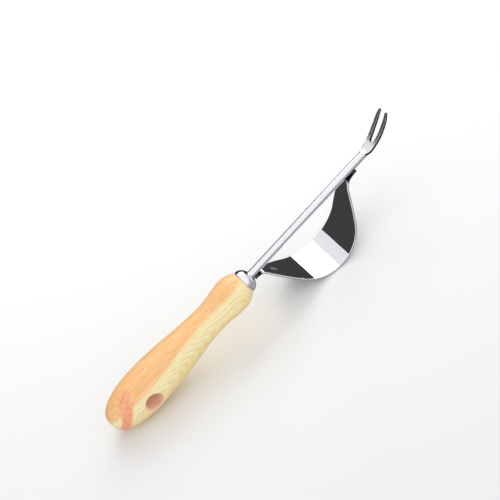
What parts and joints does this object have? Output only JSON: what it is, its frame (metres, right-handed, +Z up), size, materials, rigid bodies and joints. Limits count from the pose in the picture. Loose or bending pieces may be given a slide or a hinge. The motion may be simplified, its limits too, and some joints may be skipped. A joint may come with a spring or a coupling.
{
  "type": "hand weeder",
  "caption": "Hand weeder: turned wooden handle with a hanging hole, domed ferrule, round steel shank with a forked tip, and a bowed fulcrum plate under the shank.",
  "frame": {"origin": "centre of the small flat on the handle's butt end", "axes": "+X along the tool from the butt to the prong tips, +Y across the tool, +Z up, away from the bowed fulcrum plate"},
  "size_m": [0.3096, 0.039, 0.0646],
  "materials": {
    "ash_wood": "satin varnish over pale ash",
    "ferrule_steel": "polished bright plating",
    "shank_steel": "satin polished along the rod, ground across the prongs",
    "plate_steel": "mirror polished",
    "weld_steel": "dark weld metal"
  },
  "bodies": {
    "root": {"handle": "ash_wood", "ferrule": "ferrule_steel", "shank": "shank_steel", "fulcrum_plate": "plate_steel", "rear_weld_left": "weld_steel", "rear_weld_right": "weld_steel", "front_weld_left": "weld_steel", "front_weld_right": "weld_steel"}
  },
  "joints": []
}
